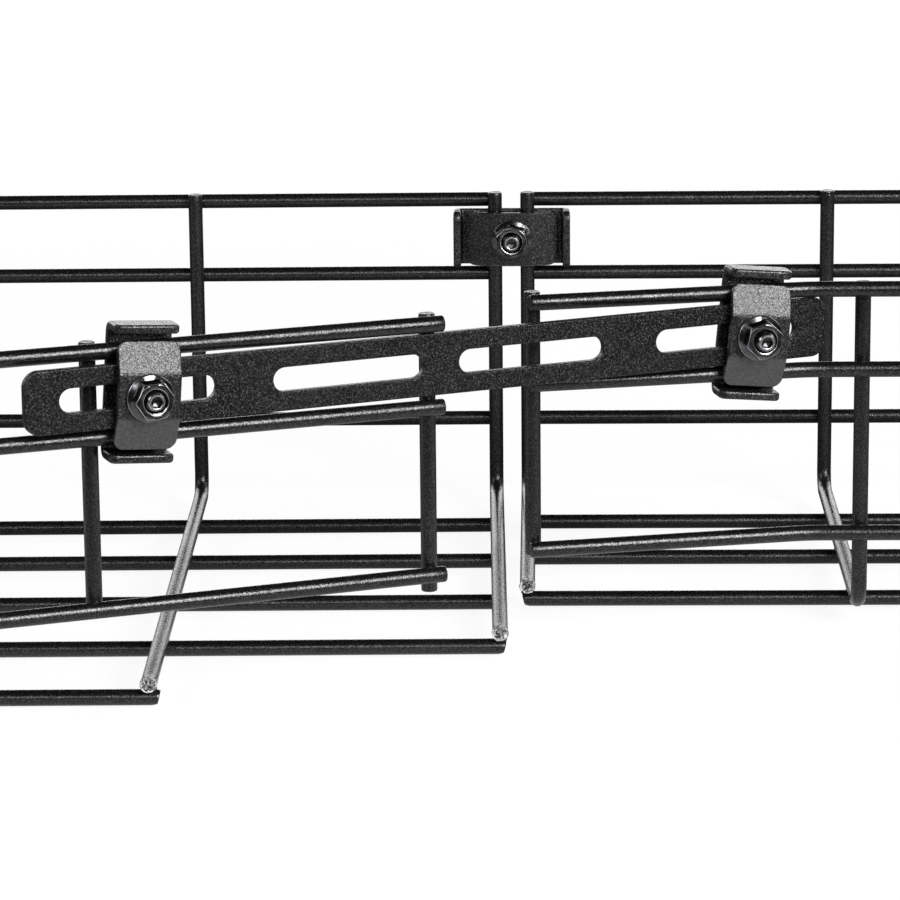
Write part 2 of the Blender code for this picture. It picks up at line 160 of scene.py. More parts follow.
def powder_coat(name, colour, rough, peel, grain, grain_scale=1.9, specular=0.5, patch=0.0, painted_glint=0.0, under=0.0):
    """Black powder coat: orange peel and a finer sandy grain that catches the light, with pale flecks painted into the
    colour as painted glints.
    With `under`, faces that look down are painted paler, a painted reflection of the bright floor below."""
    n = Nodes(name)
    mm = n.millimetres()
    broad = n.noise(mm, 0.045, 3.0)
    peel_height = n.noise(mm, 0.7, 2.0, 0.5)
    grain_height = n.noise(mm, grain_scale, 3.0, 0.62)
    pits = n.noise(mm, grain_scale * 1.9, 1.0, 0.5)
    dark = tuple(c * 0.70 for c in colour)
    light = tuple(min(1.0, c * 1.45) for c in colour)
    base = n.mix(n.ramp(broad, [(0.3, 0.0), (0.7, 1.0)]), dark, light)
    base = n.mix(n.math("MULTIPLY", n.ramp(pits, [(0.55, 0.0), (0.75, 1.0)]), 0.5), base,
                 tuple(min(1.0, c * 3.0) for c in colour))
    points = n.noise(mm, grain_scale * 1.35, 2.0, 0.55)
    painted_glint_mask = n.ramp(points, [(0.50, 0.0), (0.60, 0.35), (0.70, 1.0)])
    # painted glints: pale flecks mixed into the colour stand in for light caught by the grain
    base = n.mix(n.math("MULTIPLY", painted_glint_mask, painted_glint), base, (0.50, 0.50, 0.51))
    # painted reflection: faces that look down are painted paler to stand for the bright floor they reflect
    if under:
        way = n.nt.nodes.new("ShaderNodeNewGeometry")
        parts = n.nt.nodes.new("ShaderNodeSeparateXYZ")
        n.link(way.outputs["Normal"], parts.inputs[0])
        down = n.ramp(n.math("MULTIPLY", parts.outputs["Z"], -1.0), [(0.05, 0.0), (0.17, 0.88)])
        soft = n.mix(n.ramp(points, [(0.3, 0.0), (0.7, 1.0)]), (under * 0.8,) * 3, (under * 1.2,) * 3)
        base = n.mix(down, base, soft)
    n.link(base, n.bsdf.inputs["Base Color"])
    level = n.math("ADD", n.math("MULTIPLY", n.math("SUBTRACT", points, 0.5), specular * 2.6), specular, clamp=True)
    n.link(level, n.bsdf.inputs["Specular IOR Level"])
    r = n.math("ADD", n.math("MULTIPLY", n.math("SUBTRACT", broad, 0.5), 0.12 + patch), rough)
    r = n.math("ADD", r, n.math("MULTIPLY", n.math("SUBTRACT", grain_height, 0.5), 0.25), clamp=True)
    n.link(r, n.bsdf.inputs["Roughness"])
    normal = n.bump(peel_height, 1.0, peel * 0.0001)
    normal = n.bump(grain_height, 1.0, grain * 0.0001, normal)
    normal = n.bump(pits, 1.0, grain * 0.00005, normal)
    n.link(normal, n.bsdf.inputs["Normal"])
    return n.mat


def black_zinc(name, colour, rough, spread=0.05):
    """Black zinc plate: dark metal with faint drawing marks and a colour shift."""
    n = Nodes(name)
    mm = n.millimetres()
    broad = n.noise(mm, 0.35, 3.0)
    fine = n.noise(mm, 5.0, 2.0)
    warm = tuple(min(1.0, c * k) for c, k in zip(colour, (1.24, 1.20, 1.14)))
    cool = tuple(min(1.0, c * k) for c, k in zip(colour, (0.80, 0.82, 0.86)))
    n.link(n.mix(n.ramp(broad, [(0.35, 0.0), (0.65, 1.0)]), warm, cool), n.bsdf.inputs["Base Color"])
    n.bsdf.inputs["Metallic"].default_value = 1.0
    r = n.math("ADD", n.math("MULTIPLY", fine, spread * 2.0), rough - spread)
    n.link(r, n.bsdf.inputs["Roughness"])
    normal = n.bump(broad, 0.12, 0.0002)
    normal = n.bump(fine, 0.10, 0.00004, normal)
    n.link(normal, n.bsdf.inputs["Normal"])
    return n.mat


def bare_steel(name):
    """A sheared steel face: a bright burr round the rim and a coarse, pitted core."""
    n = Nodes(name)
    mm = n.millimetres()
    coarse = n.noise(mm, 1.5, 4.0, 0.7, 0.5)
    fine = n.noise(mm, 5.0, 3.0, 0.6)
    rim = n.nt.nodes.new("ShaderNodeAttribute")
    rim.attribute_name = "rim"
    edge = n.ramp(rim.outputs["Fac"], [(0.0, 0.02), (0.45, 0.0), (0.78, 0.05), (0.93, 0.13), (1.0, 0.15)])
    level = n.math("ADD", coarse, edge)
    n.link(n.ramp(level, [(0.44, (0.02, 0.02, 0.022)), (0.52, (0.12, 0.12, 0.122)), (0.62, (0.45, 0.45, 0.455)),
                          (0.76, (0.90, 0.90, 0.90))]), n.bsdf.inputs["Base Color"])
    n.bsdf.inputs["Metallic"].default_value = 0.75
    n.link(n.math("ADD", n.math("MULTIPLY", fine, 0.3), 0.28), n.bsdf.inputs["Roughness"])
    normal = n.bump(coarse, 1.0, 0.0004)
    normal = n.bump(fine, 0.8, 0.0001, normal)
    n.link(normal, n.bsdf.inputs["Normal"])
    return n.mat


WIRE_COAT = powder_coat("wire_powder_coat", (0.0026, 0.0026, 0.0028), 0.26, 0.50, 0.66, 1.5, 0.46, 0.05, 0.026)
BAR_COAT = powder_coat("bar_powder_coat", (0.0026, 0.0026, 0.0028), 0.26, 0.20, 1.5, 1.5, 0.22, 0.0, 0.10)
CLIP_COAT = powder_coat("clip_powder_coat", (0.0040, 0.0040, 0.0043), 0.24, 0.20, 1.25, 1.5, 0.46, 0.0, 0.085)
# the plate coat takes a painted reflection of the floor on its downward faces
PLATE_COAT = powder_coat("plate_powder_coat", (0.0050, 0.0050, 0.0053), 0.25, 0.20, 1.15, 1.5, 0.40, 0.0, 0.085,
                         under=0.040)
ZINC = black_zinc("nut_zinc", (0.10, 0.10, 0.104), 0.20)
BOLT_ZINC = black_zinc("bolt_zinc", (0.050, 0.050, 0.053), 0.22)
TIP_ZINC = black_zinc("bolt_tip_zinc", (0.42, 0.42, 0.43), 0.26)
# painted highlight: a pale zinc on the nut's thin rim, edge and corner bands stands for the light they catch
HIGHLIGHT_EDGE_ZINC = black_zinc("painted_highlight_edge_zinc", (0.62, 0.62, 0.63), 0.34)
STEEL = bare_steel("sheared_steel")


# -------------------------------------------------------------------- meshes
def make_piece(name, verts, faces, materials, smooth_angle=35.0, slots=None, weighted=True):
    """A mesh object from points in millimetres of the row frame."""
    mesh = bpy.data.meshes.new(name)
    mesh.from_pydata([tuple(c * MM for c in v) for v in verts], [], faces)
    for mat in materials:
        mesh.materials.append(mat)
    if slots is not None:
        mesh.polygons.foreach_set("material_index", slots)
    mesh.validate()
    # every closed part of the mesh is wound so that its faces look outward
    bm = bmesh.new()
    bm.from_mesh(mesh)
    bmesh.ops.recalc_face_normals(bm, faces=bm.faces)
    bm.to_mesh(mesh)
    bm.free()
    mesh.shade_smooth()
    mesh.set_sharp_from_angle(angle=math.radians(smooth_angle))
    ob = bpy.data.objects.new(name, mesh)
    bpy.context.scene.collection.objects.link(ob)
    if weighted:
        mod = ob.modifiers.new("weighted normals", "WEIGHTED_NORMAL")
        mod.keep_sharp = True
        mod.weight = 60
    return ob


def place(ob, body, slot, *nodes):
    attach(ob, body)
    if nodes:
        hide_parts(*nodes)
    return ob


def hash_noise(points, seed, scale):
    """Smooth value noise at points (n, 3), from -1 to 1, the same every run."""
    p = np.asarray(points, float) * scale + seed * 17.13
    base = np.floor(p).astype(np.int64)
    f = p - base
    f = f * f * (3 - 2 * f)
    total = np.zeros(len(p))
    for corner in range(8):
        offset = np.array([(corner >> k) & 1 for k in range(3)])
        q = base + offset
        h = (q[:, 0] * 374761393 + q[:, 1] * 668265263 + q[:, 2] * 2147483647 + seed * 1274126177) & 0xFFFFFFFF
        h = ((h ^ (h >> 13)) * 1274126177) & 0xFFFFFFFF
        h = (h ^ (h >> 16)) & 0xFFFF
        weight = np.prod(np.where(offset, f, 1 - f), axis=1)
        total += weight * (h / 32767.5 - 1.0)
    return total


# ----------------------------------------------------------- wire centre lines
def end_caps(name):
    """The two flat ends of a CAD wire: centre and outward direction, in mm."""
    mesh = NODES[name].data
    co = np.array([v.co for v in mesh.vertices], float) / MM
    groups = []
    for poly in mesh.polygons:
        pts = co[list(poly.vertices)]
        normal = np.cross(pts[1] - pts[0], pts[2] - pts[0])
        length = np.linalg.norm(normal)
        if length < 1e-6:
            continue
        normal = normal / length
        offset = float(normal @ pts[0])
        for group in groups:
            if group[0] @ normal > 0.9998 and abs(group[1] - offset) < 0.05:
                group[2].append(pts)
                break
        else:
            groups.append((normal, offset, [pts]))
    caps = []
    for _, _, pts in groups:
        points = np.unique(np.round(np.concatenate(pts), 3), axis=0)
        if len(points) != 12:
            continue
        centre = points.mean(0)
        reach = np.linalg.norm(points - centre, axis=1)
        if abs(reach - WIRE_R).max() > 0.06:
            continue
        a, b, c = pts[0][0], pts[0][1], pts[0][2]
        normal = np.cross(b - a, c - a)
        caps.append((centre, normal / np.linalg.norm(normal)))
    assert len(caps) == 2, f"{name}: {len(caps)} ends"
    return caps


def rounded(points, radius, step):
    pts = [Vector(p) for p in points]
    out = [pts[0]]
    for a, b, c in zip(pts, pts[1:], pts[2:]):
        u, v = (a - b).normalized(), (c - b).normalized()
        turn = math.pi - u.angle(v)
        cut = radius * math.tan(turn / 2.0)
        centre = b + (u + v).normalized() * (radius / math.cos(turn / 2.0))
        start, end = b + u * cut, b + v * cut
        axis = (start - centre).cross(end - centre).normalized()
        count = max(3, int(math.ceil(math.degrees(turn) / step)))
        for i in range(count + 1):
            out.append(centre + Matrix.Rotation(turn * i / count, 3, axis) @ (start - centre))
    out.append(pts[-1])
    return out


def centre_line(name):
    """The bends of a wire as a short list of corner points, and its bend radius."""
    (p, n), (q, m) = end_caps(name)
    if p[2] < q[2] - 1.0 or (abs(p[2] - q[2]) < 1.0 and p[0] + p[1] * 0.01 > q[0] + q[1] * 0.01):
        (p, n), (q, m) = (q, m), (p, n)
    d, e = -n, -m
    if np.linalg.norm(np.cross(d, q - p)) < 0.05 * np.linalg.norm(q - p) * 0.02 + 0.05:
        return [p, q], BEND_R
    if d @ e > 0.99:                                     # a U: both ends point down
        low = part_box(name)[0][2] / MM + WIRE_R * math.cos(math.radians(15.0))
        return [p, np.array([p[0], p[1], low]), np.array([q[0], q[1], low]), q], BEND_R
    a = np.array([[d @ d, -d @ e], [d @ e, -e @ e]])     # where the two straight parts meet
    s, t = np.linalg.solve(a, np.array([(q - p) @ d, (q - p) @ e]))
    corner = (p + d * s + q + e * t) / 2.0
    return [p, corner, q], (WALL_BEND_R if "near" in name else BEND_R)


# --------------------------------------------------------------------- wires
def sweep_wire(name, corners, radius, starts, ends, seed):
    """A round wire with finished ends.

    starts and ends are "sealed" (coated over), "bare" (a sheared face) or
    "snipped" (a slanted, slightly pinched cut).
    """
    path = rounded(corners, radius, 7.0 if radius < 20 else 2.0) if len(corners) > 2 else [Vector(c) for c in corners]
    pts = [path[0]]
    for a, b in zip(path, path[1:]):
        count = max(1, int((b - a).length // 5.0))
        pts += [a.lerp(b, (i + 1) / count) for i in range(count)]
    first, last = (pts[1] - pts[0]).normalized(), (pts[-1] - pts[-2]).normalized()
    tangents = []
    for i in range(len(pts)):
        a = pts[max(0, i - 1)]
        b = pts[min(len(pts) - 1, i + 1)]
        tangents.append((b - a).normalized())
    up = Vector((0, 0, 1)) if abs(first.z) < 0.9 else Vector((0, 1, 0))
    side = first.cross(up).normalized()
    frames = []
    for i, t in enumerate(tangents):
        side = (side - t * side.dot(t)).normalized()
        frames.append((side.copy(), t.cross(side).normalized()))
    profiles = {
        "sealed": [(0.50, 1.0), (0.20, 0.975), (0.06, 0.93), (0.0, 0.86)],
        "bare": [(0.95, 1.0), (0.50, 1.02), (0.24, 1.07), (0.06, 1.07), (0.0, 1.02)],
        "snipped": [(2.6, 1.0), (1.7, 0.995), (0.9, 0.98), (0.25, 0.95), (0.0, 0.88)],
    }
    rings, kinds = [], []

    def ring(centre, sides, tangent, scale, kind, offset, inner=False):
        u, v = sides
        angles = [2 * math.pi * k / SIDES for k in range(SIDES)]
        out = []
        for angle in angles:
            c, s = math.cos(angle), math.sin(angle)
            r = WIRE_R * scale
            p = centre + (u * c + v * s) * r
            out.append(p)
        return out

    def end_rings(kind, centre, sides, outward):
        """Rings from the body of the wire towards its end face, then its face."""
        u, v = sides
        outside, face = [], []
        z_axis = Vector((0, 0, 1)) - outward * outward.z
        z_axis = z_axis.normalized() if z_axis.length > 1e-3 else v
        for back, scale in profiles[kind]:
            r = ring(centre - outward * back, sides, outward, scale, kind, back)
            if kind == "bare":
                arr = np.array([list(p) for p in r])
                wobble = hash_noise(arr, seed + 21, 1.1)
                flare = max(0.0, 1.0 - back / 0.95)
                r = [centre - outward * back + (p - (centre - outward * back)) * (1.0 + 0.09 * flare * w)
                     for p, w in zip(r, wobble)]
            if kind == "snipped":
                share = max(0.0, 1.0 - back / 2.6)
                squeezed = []
                for p in r:
                    d = p - (centre - outward * back)
                    h = d.dot(z_axis)
                    d = d - z_axis * h * (0.10 * share)
                    slope = (0.5 - h / (2 * WIRE_R)) * 1.0 * share
                    squeezed.append(centre - outward * back + d - outward * slope)
                r = squeezed
            outside.append(r)
        rim = outside[-1]
        mid = sum(rim, Vector()) / len(rim)
        levels = (0.93, 0.80, 0.62, 0.42, 0.22) if kind != "sealed" else (0.90, 0.6, 0.3)
        for share in levels:
            inner = []
            for p in rim:
                q = mid.lerp(p, share)
                inner.append(q)
            arr = np.array([list(q) for q in inner])
            bumps = hash_noise(arr, seed + 3, 1.1 if kind != "sealed" else 0.6)
            fine = hash_noise(arr, seed + 9, 2.7)
            depth = 0.34 if kind == "bare" else (0.26 if kind == "snipped" else 0.07)
            lift = {0.93: 0.15}.get(share, 0.55 if kind != "sealed" else 0.4)
            inner = [q - outward * (depth * (lift + 0.45 * b + 0.3 * f)) for q, b, f in zip(inner, bumps, fine)]
            face.append(inner)
        return outside, face, mid - outward * 0.1

    start_out, start_face, start_mid = end_rings(starts, pts[0], frames[0], -first)
    end_out, end_face, end_mid = end_rings(ends, pts[-1], frames[-1], last)
    verts, faces, slots, rims = [], [], [], []

    def add_ring(r, rim=1.0):
        base = len(verts)
        verts.extend([tuple(p) for p in r])
        rims.extend([rim] * len(r))
        return base

    chain, chain_slots = [], []
    start_slot = 0 if starts == "sealed" else 1
    end_slot = 0 if ends == "sealed" else 1
    levels = {True: (0.90, 0.6, 0.3), False: (0.93, 0.80, 0.62, 0.42, 0.22)}
    for r, rim in zip(reversed(start_face), reversed(levels[starts == "sealed"])):
        chain.append(add_ring(r, rim))
        chain_slots.append(start_slot)
    chain_slots[-1] = start_slot
    for r in reversed(start_out):
        chain.append(add_ring(r))
        chain_slots.append(0)
    first_skip = profiles[starts][0][0] + 0.3
    last_skip = profiles[ends][0][0] + 0.3
    for i, (p, sides) in enumerate(zip(pts, frames)):
        if (p - pts[0]).length < first_skip or (p - pts[-1]).length < last_skip:
            continue
        chain.append(add_ring(ring(p, sides, tangents[i], 1.0, "", 0)))
        chain_slots.append(0)
    for r in end_out:
        chain.append(add_ring(r))
        chain_slots.append(0)
    chain_slots[-1] = end_slot
    for r, rim in zip(end_face, levels[ends == "sealed"]):
        chain.append(add_ring(r, rim))
        chain_slots.append(end_slot)
    for a, b, slot in zip(chain, chain[1:], chain_slots):
        for k in range(SIDES):
            m = (k + 1) % SIDES
            faces.append((a + k, b + k, b + m, a + m))
            slots.append(slot)
    centre = len(verts)
    verts.append(tuple(start_mid))
    rims.append(0.0)
    for k in range(SIDES):
        faces.append((centre, chain[0] + k, chain[0] + (k + 1) % SIDES))
        slots.append(start_slot)
    centre = len(verts)
    verts.append(tuple(end_mid))
    rims.append(0.0)
    for k in range(SIDES):
        faces.append((centre, chain[-1] + (k + 1) % SIDES, chain[-1] + k))
        slots.append(end_slot)
    ob = make_piece(name, verts, faces, [WIRE_COAT, STEEL], 42.0, slots, weighted=False)
    ob.data.attributes.new("rim", "FLOAT", "POINT").data.foreach_set("value", rims)
    return ob


# The cut floor ends of the first cross wires are bare, the snipped floor wires
# are those cut short of the joint, and every other end is coated over.
FINISH = {
    "left_cross_wire_1": ("sealed", "bare"), "left_cross_wire_2": ("sealed", "bare"),
    "left_cross_wire_3": ("sealed", "bare"), "right_cross_wire_1": ("sealed", "bare"),
    "left_floor_wire_4": ("sealed", "snipped"), "left_floor_wire_5": ("sealed", "snipped"),
    "left_floor_wire_6": ("sealed", "snipped"), "right_floor_wire_3": ("snipped", "sealed"),
}
wire_names = sorted(n for n in NODES if "wire" in n or "upright" in n)
lines = {}
for index, node in enumerate(wire_names):
    corners, bend = centre_line(node)
    lines[node] = corners
    starts, ends = FINISH.get(node, ("sealed", "sealed"))
    piece = sweep_wire(node + "_coated", corners, bend, starts, ends, index)
    slot = "wide_section_coat" if node.startswith("left_") else "narrow_section_coat"
    place(piece, BODY_OF[node], slot, node)


# --------------------------------------------------------------------- welds
def nearest(a0, a1, b0, b1):
    """Closest points of two segments."""
    u, v, w = a1 - a0, b1 - b0, a0 - b0
    a, b, c, d, e = u @ u, u @ v, v @ v, u @ w, v @ w
    den = a * c - b * b
    s = 0.0 if den < 1e-9 else min(1.0, max(0.0, (b * e - c * d) / den))
    t = min(1.0, max(0.0, (b * s + e) / c))
    s = min(1.0, max(0.0, (b * t - d) / a))
    return a0 + u * s, b0 + v * t


def weld_bead(centre, across, along_a, along_b, seed):
    """A flattened, uneven bead in the throat between two crossing wires."""
    verts, faces = [], []
    rows, cols = 9, 20
    x, y = Vector(along_a), Vector(along_b)
    n = Vector(across)
    y = (y - x * y.dot(x)).normalized()
    for i in range(1, rows):
        lat = -math.pi / 2 + math.pi * i / rows
        for k in range(cols):
            lon = 2 * math.pi * k / cols
            reach = math.cos(lat)
            # reaches further out in the four throats between the wires
            spread = 1.95 + 0.42 * (math.sin(2 * lon) ** 2)
            p = x * (math.cos(lon) * reach * spread) + y * (math.sin(lon) * reach * spread) + n * (math.sin(lat) * 1.05)
            verts.append(p)
    arr = np.array([list(v) for v in verts]) + np.array(list(centre))
    bump = hash_noise(arr, seed, 0.9) * 0.16 + hash_noise(arr, seed + 5, 2.3) * 0.05
    verts = [tuple(Vector(centre) + p * (1.0 + b * 0.6)) for p, b in zip(verts, bump)]
    verts = [tuple(Vector(centre) - n * 1.05)] + verts + [tuple(Vector(centre) + n * 1.05)]
    for k in range(cols):
        faces.append((0, 1 + (k + 1) % cols, 1 + k))
    for i in range(rows - 2):
        for k in range(cols):
            a, b = 1 + i * cols + k, 1 + i * cols + (k + 1) % cols
            faces.append((a, b, b + cols, a + cols))
    top = len(verts) - 1
    base = 1 + (rows - 2) * cols
    for k in range(cols):
        faces.append((top, base + k, base + (k + 1) % cols))
    return verts, faces


for prefix, slot in (("left_", "wide_section_coat"), ("right_", "narrow_section_coat")):
    names = [n for n in wire_names if n.startswith(prefix)]
    verts, faces = [], []
    count = 0
    for i, a in enumerate(names):
        for b in names[i + 1:]:
            best = None
            for p0, p1 in zip(lines[a], lines[a][1:]):
                for q0, q1 in zip(lines[b], lines[b][1:]):
                    p0_, p1_, q0_, q1_ = (np.array(list(v), float) for v in (p0, p1, q0, q1))
                    da = (p1_ - p0_) / np.linalg.norm(p1_ - p0_)
                    db = (q1_ - q0_) / np.linalg.norm(q1_ - q0_)
                    if abs(da @ db) > 0.5:
                        continue
                    s, t = nearest(p0_, p1_, q0_, q1_)
                    gap = np.linalg.norm(s - t)
                    if gap < 5.1 and (best is None or gap < best[0]):
                        best = (gap, (s + t) / 2, (t - s) / gap, da, db)
            if best is not None:
                v, f = weld_bead(best[1], best[2], best[3], best[4], count * 7 + 11)
                shift = len(verts)
                verts += v
                faces += [tuple(k + shift for k in face) for face in f]
                count += 1
    print(prefix, "welds", count)
    ob = make_piece(prefix + "weld_beads", verts, faces, [WIRE_COAT], 60.0, weighted=False)
    place(ob, BODY_OF[names[0]], slot)


# ------------------------------------------------------------------ hardware
def sheet(path, width, thick, corner, edge, crown=0.0):
    """A folded strip with rounded edges and corners, as a closed surface.

    path is a list of (y, z) points on the middle of the sheet.
    """
    pts = [Vector(p) for p in path]
    lengths = [0.0]
    for a, b in zip(pts, pts[1:]):
        lengths.append(lengths[-1] + (b - a).length)
    total = lengths[-1]
    stations = set()
    for s in lengths:
        stations.add(round(s, 4))
    for k in range(9):
        s = corner * (1.0 - math.cos(math.radians(90.0 * k / 8)))
        stations.add(round(s, 4))
        stations.add(round(total - s, 4))
    for k in range(5):
        s = edge * (1.0 - math.cos(math.radians(90.0 * k / 4)))
        stations.add(round(s, 4))
        stations.add(round(total - s, 4))
    step = 0.0
    while step < total:
        stations.add(round(step, 4))
        step += 1.5
    stations = sorted(s for s in stations if 0 <= s <= total)
    keep = [stations[0]]
    for s in stations[1:]:
        if s - keep[-1] > 0.02:
            keep.append(s)
    keep[-1] = total

    def at(s):
        for i in range(len(pts) - 1):
            if s <= lengths[i + 1] + 1e-9 or i == len(pts) - 2:
                f = (s - lengths[i]) / (lengths[i + 1] - lengths[i])
                return pts[i].lerp(pts[i + 1], min(1.0, max(0.0, f)))
        return pts[-1]

    def inset(value, radius):
        if value >= radius:
            return 0.0
        return radius - math.sqrt(max(0.0, radius ** 2 - (radius - value) ** 2))

    verts, faces = [], []
    per = None
    for s in keep:
        near = min(s, total - s)
        half_w = width / 2.0 - inset(near, corner)
        pinch = inset(near, edge)
        half_t = thick / 2.0 - pinch
        half_w = half_w - pinch * 0.6
        a, b = at(max(0.0, s - 0.25)), at(min(total, s + 0.25))
        tangent = (b - a).normalized()
        normal = Vector((tangent.y, -tangent.x))
        centre = at(s)
        r = min(edge, half_t * 0.98, half_w * 0.9)
        ring = []
        for cx, ct, start in ((1, 1, 0), (-1, 1, 90), (-1, -1, 180), (1, -1, 270)):
            for k in range(5):
                angle = math.radians(start + 90.0 * k / 4)
                ring.append((cx * (half_w - r) + r * math.cos(angle), ct * (half_t - r) + r * math.sin(angle)))
        # two more points along each wide face let it crown a little
        full = []
        for k, (x, t) in enumerate(ring):
            full.append((x, t))
            if k in (4, 14):
                nx, nt = ring[(k + 1) % len(ring)]
                for f in (0.25, 0.5, 0.75):
                    full.append((x + (nx - x) * f, t + (nt - t) * f))
        per = len(full)
        for x, t in full:
            bow = crown * (1.0 - (x / (width / 2.0)) ** 2)
            y = centre.x + normal.x * (t + bow)
            z = centre.y + normal.y * (t + bow)
            verts.append((x, y, z))
    rows = len(keep)
    for i in range(rows - 1):
        for k in range(per):
            a, b = i * per + k, i * per + (k + 1) % per
            faces.append((a, b, b + per, a + per))
    faces.append(tuple(range(per - 1, -1, -1)))
    faces.append(tuple((rows - 1) * per + k for k in range(per)))
    return verts, faces


def arc(centre, radius, start, end, n):
    return [(centre[0] + radius * math.cos(math.radians(start + (end - start) * i / n)),
             centre[1] + radius * math.sin(math.radians(start + (end - start) * i / n))) for i in range(n + 1)]


CLIP_W, CLIP_L, CLIP_T, CLIP_DEPTH, CLIP_BEND, CLIP_CORNER = 18.7, 38.9, 2.5, 10.8, 3.2, 2.4
PLATE_W, PLATE_L, PLATE_T, PLATE_FLAT, PLATE_WING, PLATE_CORNER = 18.0, 31.2, 2.0, 12.6, 20.0, 3.2
WEB_FRONT, BOLT_R, NUT_H, NUT_AF, FLANGE_R = -2.5, 2.95, 6.0, 10.0, 6.8


def clip_mesh():
    back = -WEB_FRONT + CLIP_T / 2.0
    front = back - (CLIP_DEPTH - CLIP_T / 2.0)
    top = CLIP_L / 2.0 - CLIP_T / 2.0
    r = CLIP_BEND - CLIP_T / 2.0
    path = [(front, top)]
    path += arc((back - r, top - r), r, 90.0, 0.0, 10)
    path += arc((back - r, -top + r), r, 0.0, -90.0, 10)
    path += [(front, -top)]
    return sheet(path, CLIP_W, CLIP_T, CLIP_CORNER, 0.75)


def plate_mesh():
    a = math.radians(PLATE_WING)
    wing = (PLATE_L - PLATE_FLAT) / 2.0
    mid = -PLATE_T / 2.0
    half = PLATE_FLAT / 2.0
    fold = 5.0                                        # middle radius of each fold
    cut = fold * math.tan(a / 2.0)
    top = [(mid + wing * math.sin(a), half + wing * math.cos(a))]
    top += [(mid + fold - fold * math.cos(a * (1 - i / 6.0)), half - cut + fold * math.sin(a * (1 - i / 6.0)))
            for i in range(7)]
    path = top + [(y, -z) for y, z in reversed(top)]
    return sheet(path, PLATE_W, PLATE_T, PLATE_CORNER, 0.38)


def thread_radius(theta, z, major, minor, pitch=1.0):
    phase = (z / pitch - theta / (2 * math.pi)) % 1.0
    wave = abs(phase - 0.5) * 2.0                      # 1 at the crest, 0 at the root
    return minor + (major - minor) * min(1.0, max(0.0, wave * 1.35 - 0.12))


def revolve(rings, steps):
    """Closed surface from rings of points; the first and last close to a point."""
    verts, faces = [], []
    starts = []
    for ring in rings:
        starts.append(len(verts))
        verts += ring
    for i in range(len(rings) - 1):
        a, b = rings[i], rings[i + 1]
        sa, sb = starts[i], starts[i + 1]
        if len(a) == 1:
            for k in range(steps):
                faces.append((sa, sb + (k + 1) % steps, sb + k))
        elif len(b) == 1:
            for k in range(steps):
                faces.append((sa + k, sa + (k + 1) % steps, sb))
        else:
            for k in range(steps):
                m = (k + 1) % steps
                faces.append((sa + k, sa + m, sb + m, sb + k))
    return verts, faces


def circle(radius, z, steps, shape=None):
    out = []
    for k in range(steps):
        theta = 2 * math.pi * k / steps
        r = radius(theta) if callable(radius) else radius
        out.append((r * math.cos(theta), r * math.sin(theta), z))
    return out


def hexagon(apothem, turn, soft):
    """Radius of a hexagon with slightly rounded corners, as a function."""
    def radius(theta):
        local = (theta - math.radians(turn)) % (math.pi / 3) - math.pi / 6
        r = apothem / math.cos(local)
        return min(r, apothem / math.cos(math.pi / 6) - soft)
    return radius


def bolt_mesh(tip):
    """Cup-head bolt on local Z, its threaded tip at z = tip: islands and slots."""
    steps = 48
    back = WEB_FRONT - CLIP_T - 0.1
    parts = []
    # head: a smooth dome under a short rim
    profile = [(0.0, back - 3.2), (1.2, back - 3.17), (2.4, back - 3.02), (3.5, back - 2.72), (4.5, back - 2.27),
               (5.3, back - 1.72), (5.85, back - 1.2), (6.15, back - 0.8), (6.28, back - 0.5), (6.3, back - 0.2),
               (6.22, back - 0.05), (6.05, back), (0.0, back)]
    rings = [[(0.0, 0.0, z)] if r == 0.0 else circle(r, z, steps) for r, z in profile]
    verts, faces = revolve(rings, steps)
    parts.append((verts, [tuple(reversed(f)) for f in faces], [0] * len(faces)))
    # square neck with softened corners
    def square(theta):
        local = (theta - math.radians(0.0)) % (math.pi / 2) - math.pi / 4
        local = ((theta + math.pi / 4) % (math.pi / 2)) - math.pi / 4
        return min(3.05 / math.cos(local), 3.05 * math.sqrt(2.0) - 0.35)
    rings = [[(0.0, 0.0, back - 0.2)], circle(square, back - 0.2, steps), circle(square, back + 1.85, steps),
             circle(lambda t: square(t) - 0.3, back + 2.1, steps), [(0.0, 0.0, back + 2.1)]]
    verts, faces = revolve(rings, steps)
    parts.append((verts, [tuple(reversed(f)) for f in faces], [0] * len(faces)))
    # threaded shank, chamfered tip and hexagon recess
    rings, marks = [[(0.0, 0.0, back + 0.5)]], [0]
    z = back + 0.5
    while z < tip - 0.02:
        limit = BOLT_R - max(0.0, z - (tip - 0.95)) * 0.78
        ring = []
        for k in range(steps):
            theta = 2 * math.pi * k / steps
            r = min(limit, thread_radius(theta, z, BOLT_R, 2.46))
            ring.append((r * math.cos(theta), r * math.sin(theta), z))
        rings.append(ring)
        marks.append(0 if z < tip - 0.45 else 1)
        z += 0.125
    key = hexagon(1.42, 0.0, 0.0)
    for radius, height, mark in ((2.20, tip - 0.01, 1), (2.08, tip, 1), (1.82, tip, 1), (1.72, tip - 0.05, 1),
                                 (lambda t: key(t), tip - 0.24, 0), (lambda t: key(t), tip - 1.95, 0),
                                 (0.7, tip - 2.2, 0)):
        rings.append(circle(radius, height, steps))
        marks.append(mark)
    rings.append([(0.0, 0.0, tip - 2.3)])
    marks.append(0)
    verts, faces = revolve(rings, steps)
    slots = []
    for i in range(len(rings) - 1):
        slots += [marks[i + 1]] * steps
    parts.append((verts, [tuple(reversed(f)) for f in faces], slots))
    return parts


